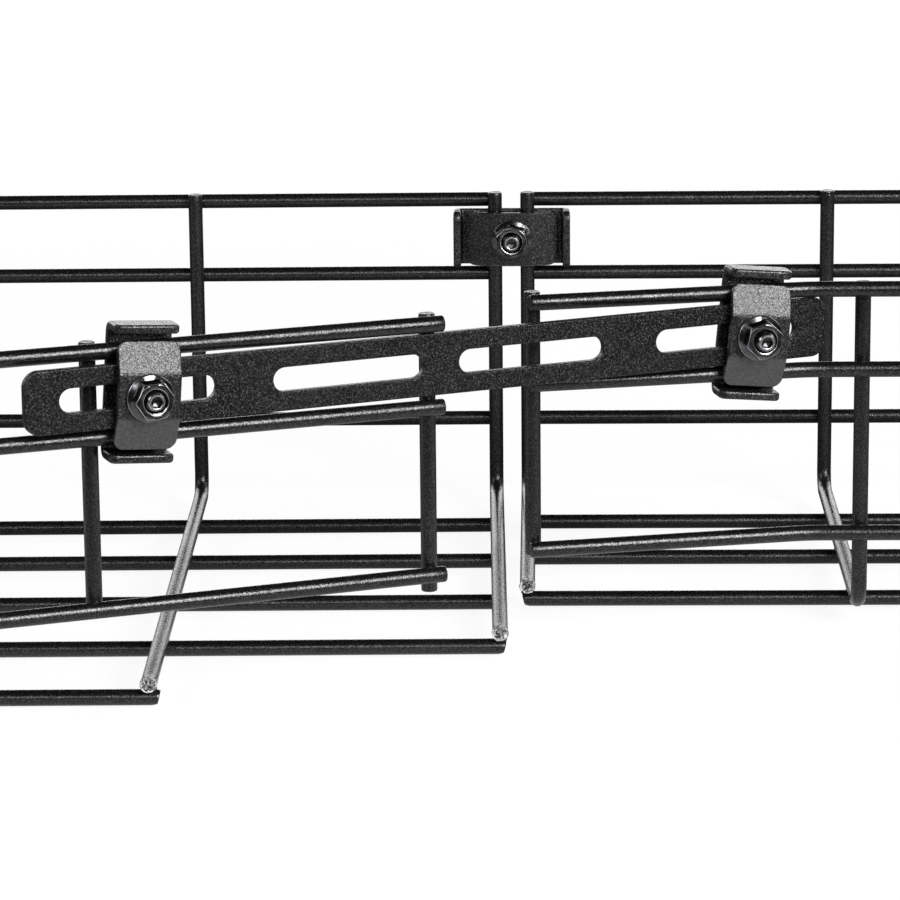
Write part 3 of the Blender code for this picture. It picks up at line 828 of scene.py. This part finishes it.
def nut_mesh(turn):
    """Hexagon flange nut on local Z with its seat at z = 0."""
    steps = 96
    hexa = hexagon(NUT_AF / 2.0, turn, 0.10)
    k_cone = 0.95 / 1.65                               # drop of the crown chamfer per mm of radius

    def foot(theta):                                   # where the flange cone meets the hexagon
        return 1.78 - (hexa(theta) - 5.0) * 0.42

    def crown(theta):
        return NUT_H - max(0.0, hexa(theta) - 4.95) * k_cone

    def ring_of(fn):
        out = []
        for k in range(steps):
            theta = 2 * math.pi * k / steps
            r, z = fn(theta)
            out.append((r * math.cos(theta), r * math.sin(theta), z))
        return out

    bore_major, bore_minor = 3.20, 2.99
    profile = [                                       # ring, and whether the band after it takes the painted edge highlight
        (lambda t: (3.75, 0.0), 0), (lambda t: (6.35, 0.0), 0), (lambda t: (6.62, 0.10), 0),
        (lambda t: (6.77, 0.32), 0), (lambda t: (6.80, 0.60), 0), (lambda t: (6.76, 0.84), 1),
        (lambda t: (6.64, 1.03), 0), (lambda t: (6.46, 1.18), 0),
        (lambda t: (hexa(t) + 0.30, foot(t) - 0.14), 0), (lambda t: (hexa(t) + 0.09, foot(t) + 0.04), 0),
        (lambda t: (hexa(t), foot(t) + 0.28), 0), (lambda t: (hexa(t), crown(t) - 0.24), 1),
        (lambda t: (hexa(t) - 0.05, crown(t) - 0.09), 1), (lambda t: (hexa(t) - 0.17, crown(t) + 0.03), 0),
        (lambda t: (min(hexa(t) - 0.20, 5.04), NUT_H - 0.09), 0), (lambda t: (4.86, NUT_H), 0),
        (lambda t: (3.70, NUT_H), 1), (lambda t: (3.60, NUT_H - 0.06), 0), (lambda t: (3.30, 5.80), 0), (lambda t: (3.22, 5.62), 0),
    ]
    z = 5.45
    while z > 0.5:
        profile.append((lambda t, z=z: (bore_major + bore_minor - thread_radius(t, z, bore_major, bore_minor), z), 0))
        z -= 0.2
    profile.append((lambda t: (3.25, 0.42), 0))
    verts, faces, slots = [], [], []
    for ring, _ in profile:
        verts += ring_of(ring)
    rows = len(profile)
    for i in range(rows):
        for k in range(steps):
            a, b = i * steps + k, i * steps + (k + 1) % steps
            c, d = ((i + 1) % rows) * steps + (k + 1) % steps, ((i + 1) % rows) * steps + k
            faces.append((a, b, c, d))
            slots.append(profile[i][1])
    # the six upright corners take the painted edge highlight too
    sixth = steps // 6
    first = next(i for i, (ring, _) in enumerate(profile) if i == 10)
    corner = min(range(steps), key=lambda k: -hexa(2 * math.pi * k / steps))
    for i in (first,):
        for k in range(steps):
            if (k - corner) % sixth in (0, sixth - 1):
                slots[i * steps + k] = 1
    return [(verts, faces, slots)]


def cut_hole(ob, shape):
    """Subtracts a hidden cutter from a piece and keeps the result as its mesh."""
    mod = ob.modifiers.new("hole", "BOOLEAN")
    mod.operation = "DIFFERENCE"
    mod.solver = "EXACT"
    mod.object = shape
    bpy.context.view_layer.update()
    result = bpy.data.meshes.new_from_object(ob.evaluated_get(bpy.context.evaluated_depsgraph_get()))
    ob.modifiers.clear()
    ob.data = result
    bpy.data.objects.remove(shape)
    result.shade_smooth()
    result.set_sharp_from_angle(angle=math.radians(35.0))
    mod = ob.modifiers.new("weighted normals", "WEIGHTED_NORMAL")
    mod.keep_sharp = True
    mod.weight = 60
    return ob


def build(name, parts, transform, materials, angle=30.0):
    verts, faces, slots = [], [], []
    for v, f, s in parts:
        shift = len(verts)
        verts += [tuple(transform @ Vector(p)) for p in v]
        faces += [tuple(k + shift for k in face) for face in f]
        slots += s
    return make_piece(name, verts, faces, materials, angle, slots)


CLAMPS = {"far": (90.0, 12.3, 12.0), "left": (4.2, 16.6, 8.0), "right": (5.5, 16.6, 22.0)}


def node_points(name):
    return np.array([v.co for v in NODES[name].data.vertices], float) / MM


for prefix, (turn, tip, phase) in CLAMPS.items():
    joint = JOINTS[prefix + "_plate_slide"]
    outward = Vector(joint["axis"]).normalized()
    on_axis = Vector(JOINTS[prefix + "_nut_turn"]["pos_m"]) / MM
    reach = max((Vector(p) - on_axis).dot(outward) for p in node_points(prefix + "_bolt"))
    origin = on_axis + outward * (reach - tip)
    yaw = math.atan2(outward.x, -outward.y)
    basis = Matrix.Rotation(yaw, 3, "Z") @ Matrix.Rotation(math.radians(turn), 3, "Y")
    local = Matrix.Translation(origin) @ basis.to_4x4()
    # the bolt and nut stand on local Z, turned to point outward (-Y)
    stand = local @ Matrix.Rotation(math.radians(90.0), 4, "X")
    plate_front = max((Vector(p) - origin).dot(outward) for p in node_points(prefix + "_front_plate"))
    seat = min((Vector(p) - origin).dot(outward) for p in node_points(prefix + "_flange_nut"))

    verts, faces = clip_mesh()
    ob = build(prefix + "_clip_folded", [(verts, faces, [0] * len(faces))], local, [CLIP_COAT])
    bm_name = prefix + "_clip_cutter"
    side, depth = 3.22, 6.0
    middle = -WEB_FRONT + CLIP_T / 2.0
    corners = [(sx * side, middle + sy * depth, sz * side) for sx in (-1, 1) for sy in (-1, 1) for sz in (-1, 1)]
    quads = [(0, 1, 3, 2), (4, 6, 7, 5), (0, 4, 5, 1), (2, 3, 7, 6), (0, 2, 6, 4), (1, 5, 7, 3)]
    cutter = make_piece(bm_name, [tuple(local @ Vector(c)) for c in corners], quads, [CLIP_COAT], weighted=False)
    cut_hole(ob, cutter)
    place(ob, BODY_OF[prefix + "_clip"], "clip_coat", prefix + "_clip")

    verts, faces = plate_mesh()
    shifted = local @ Matrix.Translation((0.0, -(plate_front - PLATE_T), 0.0))
    ob = build(prefix + "_front_plate_folded", [(verts, faces, [0] * len(faces))], shifted, [PLATE_COAT])
    rings = [[(0.0, 0.0, -6.0)], circle(3.35, -6.0, 40), circle(3.35, 6.0, 40), [(0.0, 0.0, 6.0)]]
    cv, cf = revolve(rings, 40)
    turned = shifted @ Matrix.Rotation(math.radians(90.0), 4, "X")
    cutter = make_piece(prefix + "_plate_cutter", [tuple(turned @ Vector(c)) for c in cv],
                        [tuple(reversed(f)) for f in cf], [PLATE_COAT], weighted=False)
    cut_hole(ob, cutter)
    place(ob, BODY_OF[prefix + "_front_plate"], "plate_coat", prefix + "_front_plate")

    ob = build(prefix + "_bolt_threaded", bolt_mesh(tip), stand, [BOLT_ZINC, TIP_ZINC], 28.0)
    place(ob, BODY_OF[prefix + "_bolt"], "bolt_black_zinc", prefix + "_bolt")
    ob = build(prefix + "_flange_nut_chamfered", nut_mesh(phase), stand @ Matrix.Translation((0, 0, seat)),
               [ZINC, HIGHLIGHT_EDGE_ZINC], 32.0)
    place(ob, BODY_OF[prefix + "_flange_nut"], "nut_black_zinc", prefix + "_flange_nut")


# ---------------------------------------------------------------- splice bar
def outline(length, height, radius, n):
    pts = []
    for cx, cy, start in ((1, 1, 0), (-1, 1, 90), (-1, -1, 180), (1, -1, 270)):
        pts += arc((cx * (length / 2.0 - radius), cy * (height / 2.0 - radius)), radius, start, start + 90, n)
    return pts


EDGE = 0.38
low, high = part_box("splice_bar")
bar_mid = (low + high) / 2.0
axis = JOINTS["splice_bar_slide"]["axis"]
curve = bpy.data.curves.new("splice_bar_punched", "CURVE")
curve.dimensions = "2D"
curve.fill_mode = "BOTH"
curve.extrude = (2.5 / 2.0 - EDGE) * MM
curve.bevel_depth = EDGE * MM
curve.bevel_resolution = 3
rings = [outline(248.4 - 2 * EDGE, 18.0 - 2 * EDGE, 4.5 - EDGE, 12)]
for centre in (-91.2, -28.4, 28.4, 91.2):
    ring = outline(45.8 + 2 * EDGE, 6.9 + 2 * EDGE, 6.9 / 2.0 + EDGE - 0.001, 16)
    rings.append([(px + centre, py) for px, py in ring])
for ring in rings:
    spline = curve.splines.new("POLY")
    spline.points.add(len(ring) - 1)
    spline.use_cyclic_u = True
    for point, (px, py) in zip(spline.points, ring):
        point.co = (px * MM, py * MM, 0.0, 1.0)
flat = bpy.data.objects.new("splice_bar_flat", curve)
bpy.context.scene.collection.objects.link(flat)
bpy.context.view_layer.update()
mesh = bpy.data.meshes.new_from_object(flat.evaluated_get(bpy.context.evaluated_depsgraph_get()))
bpy.data.objects.remove(flat)
where = (Matrix.Translation(bar_mid) @ Matrix.Rotation(math.atan2(axis[1], axis[0]), 4, "Z")
         @ Matrix.Rotation(math.radians(90.0), 4, "X"))
mesh.transform(where)
mesh.materials.clear()
mesh.materials.append(BAR_COAT)
bar = bpy.data.objects.new("splice_bar_punched", mesh)
bpy.context.scene.collection.objects.link(bar)
mesh.shade_smooth()
mesh.set_sharp_from_angle(angle=math.radians(30.0))
mod = bar.modifiers.new("weighted normals", "WEIGHTED_NORMAL")
mod.keep_sharp = True
place(bar, "splice_bar", "bar_coat", "splice_bar")


# ---------------------------------------------------- floor, light and camera
DATUM = Vector((0.050035, 0.15181, 0.0))             # the gap between the far walls

stage_mat = bpy.data.materials.new("pale_floor")
stage_mat.use_nodes = True
nt = stage_mat.node_tree
nt.nodes.clear()
out = nt.nodes.new("ShaderNodeOutputMaterial")
diffuse = nt.nodes.new("ShaderNodeBsdfDiffuse")
diffuse.inputs["Color"].default_value = (0.86, 0.86, 0.865, 1.0)
seen = nt.nodes.new("ShaderNodeEmission")            # keeps the floor near white to the camera
seen.inputs["Color"].default_value = (1.0, 1.0, 1.0, 1.0)
seen.inputs["Strength"].default_value = 1.05
toned = nt.nodes.new("ShaderNodeMixShader")
toned.inputs[0].default_value = 0.86
nt.links.new(diffuse.outputs[0], toned.inputs[1])
nt.links.new(seen.outputs[0], toned.inputs[2])
mirror = nt.nodes.new("ShaderNodeEmission")          # what polished metal and coat reflect
coord = nt.nodes.new("ShaderNodeTexCoord")
split = nt.nodes.new("ShaderNodeSeparateXYZ")
nt.links.new(coord.outputs["Object"], split.inputs[0])


def remap(value, a, b, lo, hi):
    node = nt.nodes.new("ShaderNodeMapRange")
    node.interpolation_type = "SMOOTHSTEP"
    for socket, number in zip(node.inputs[1:5], (a, b, lo, hi)):
        socket.default_value = number
    nt.links.new(value, node.inputs[0])
    return node.outputs[0]


reach = nt.nodes.new("ShaderNodeVectorMath")
reach.operation = "LENGTH"
nt.links.new(coord.outputs["Object"], reach.inputs[0])
nt.links.new(remap(reach.outputs["Value"], 0.55, 1.6, 1.04, 1.20), seen.inputs["Strength"])
near = remap(split.outputs["Y"], -0.42, -0.14, 0.04, 0.85)
under = remap(split.outputs["Y"], -0.02, 0.16, 1.0, 0.08)
beyond = remap(split.outputs["Y"], 0.9, 1.8, 0.0, 1.4)
shaped = nt.nodes.new("ShaderNodeMath")
shaped.operation = "MULTIPLY"
nt.links.new(near, shaped.inputs[0])
nt.links.new(under, shaped.inputs[1])
both = nt.nodes.new("ShaderNodeMath")
both.operation = "ADD"
nt.links.new(shaped.outputs[0], both.inputs[0])
nt.links.new(beyond, both.inputs[1])
nt.links.new(both.outputs[0], mirror.inputs["Strength"])
paths = nt.nodes.new("ShaderNodeLightPath")
choose = nt.nodes.new("ShaderNodeMixShader")
nt.links.new(paths.outputs["Is Glossy Ray"], choose.inputs[0])
nt.links.new(toned.outputs[0], choose.inputs[1])
nt.links.new(mirror.outputs[0], choose.inputs[2])
nt.links.new(choose.outputs[0], out.inputs["Surface"])

floor_mesh = bpy.data.meshes.new("floor")
size = 14.0
floor_mesh.from_pydata([(-size, -size, 0), (size, -size, 0), (size, size, 0), (-size, size, 0)], [], [(0, 1, 2, 3)])
floor_mesh.materials.append(stage_mat)
floor = bpy.data.objects.new("floor", floor_mesh)
floor.location = (0.0, 0.0, -0.0004)
bpy.context.scene.collection.objects.link(floor)

world = bpy.data.worlds.new("studio")
bpy.context.scene.world = world
world.use_nodes = True
wt = world.node_tree
wt.nodes.clear()
wout = wt.nodes.new("ShaderNodeOutputWorld")
camera_side = wt.nodes.new("ShaderNodeBackground")
camera_side.inputs["Color"].default_value = (1.0, 1.0, 1.0, 1.0)
camera_side.inputs["Strength"].default_value = 1.04
room = wt.nodes.new("ShaderNodeBackground")
room.inputs["Color"].default_value = (1.0, 1.0, 1.0, 1.0)
room.inputs["Strength"].default_value = 0.07
dark = wt.nodes.new("ShaderNodeBackground")          # a low white band behind, dark above
dark.inputs["Color"].default_value = (1.0, 1.0, 1.0, 1.0)
way = wt.nodes.new("ShaderNodeTexCoord")
axes = wt.nodes.new("ShaderNodeSeparateXYZ")
wt.links.new(way.outputs["Generated"], axes.inputs[0])


def world_remap(value, a, b, lo, hi):
    node = wt.nodes.new("ShaderNodeMapRange")
    node.interpolation_type = "SMOOTHSTEP"
    for socket, number in zip(node.inputs[1:5], (a, b, lo, hi)):
        socket.default_value = number
    wt.links.new(value, node.inputs[0])
    return node.outputs[0]


def world_math(op, a, b):
    node = wt.nodes.new("ShaderNodeMath")
    node.operation = op
    for socket, value in zip(node.inputs, (a, b)):
        if isinstance(value, (int, float)):
            socket.default_value = value
        else:
            wt.links.new(value, socket)
    return node.outputs[0]


band = world_math("MULTIPLY", world_remap(axes.outputs["Z"], 0.222, 0.262, 2.7, 0.0),
                  world_remap(axes.outputs["Y"], 0.55, 0.92, 0.0, 1.0))
wt.links.new(world_math("ADD", band, 0.02), dark.inputs["Strength"])
lp = wt.nodes.new("ShaderNodeLightPath")
glossy = wt.nodes.new("ShaderNodeMixShader")
wt.links.new(lp.outputs["Is Glossy Ray"], glossy.inputs[0])
wt.links.new(room.outputs[0], glossy.inputs[1])
wt.links.new(dark.outputs[0], glossy.inputs[2])
seen_world = wt.nodes.new("ShaderNodeMixShader")
wt.links.new(lp.outputs["Is Camera Ray"], seen_world.inputs[0])
wt.links.new(glossy.outputs[0], seen_world.inputs[1])
wt.links.new(camera_side.outputs[0], seen_world.inputs[2])
wt.links.new(seen_world.outputs[0], wout.inputs["Surface"])


def softbox(name, azimuth, elevation, distance, width, height, power):
    """A soft light aimed at the tray; azimuth 0 is in front (-Y), + to the right."""
    light = bpy.data.lights.new(name, "AREA")
    light.shape = "RECTANGLE"
    light.size, light.size_y = width, height
    light.energy = power
    ob = bpy.data.objects.new(name, light)
    a, e = math.radians(azimuth), math.radians(elevation)
    target = DATUM + Vector((0.0, -0.15, 0.06))
    away = Vector((math.sin(a) * math.cos(e), -math.cos(a) * math.cos(e), math.sin(e)))
    ob.location = target + away * distance
    ob.rotation_mode = "QUATERNION"
    ob.rotation_quaternion = away.to_track_quat("Z", "Y")
    ob.visible_camera = False
    bpy.context.scene.collection.objects.link(ob)
    return ob


softbox("key", 33.5, 26.0, 2.0, 0.74, 0.95, 52.0)
softbox("front_fill", -4.0, 22.0, 2.2, 0.9, 0.40, 9.0)
softbox("left_fill", -72.0, 30.0, 2.2, 0.8, 1.0, 9.0)
softbox("right_fill", 100.0, 30.0, 2.2, 0.8, 1.0, 9.0)
softbox("back_left", -138.0, 24.0, 2.4, 1.1, 0.6, 13.0)
softbox("back_right", 138.0, 24.0, 2.4, 1.1, 0.6, 13.0)

cam = bpy.data.cameras.new("camera")
cam.sensor_width = 36.0
cam.lens = 158.08
camera = bpy.data.objects.new("camera", cam)
yaw, pitch, roll = math.radians(-1.3731), math.radians(13.1106), math.radians(-0.527)
forward = Vector((math.sin(yaw) * math.cos(pitch), math.cos(yaw) * math.cos(pitch), -math.sin(pitch)))
right = Vector((math.cos(yaw), -math.sin(yaw), 0.0))
up = right.cross(forward)
r2 = right * math.cos(roll) + up * math.sin(roll)
u2 = -right * math.sin(roll) + up * math.cos(roll)
rotation = Matrix((r2, u2, -forward)).transposed()
camera.matrix_world = Matrix.Translation(DATUM + Vector((10.105, -1303.57, 324.99)) * MM) @ rotation.to_4x4()
cam.clip_start, cam.clip_end = 0.05, 100.0
bpy.context.scene.collection.objects.link(camera)
bpy.context.scene.camera = camera

scene = bpy.context.scene
scene.view_settings.view_transform = "Standard"
scene.view_settings.look = "None"
scene.view_settings.exposure = 0.0
scene.view_settings.gamma = 1.0
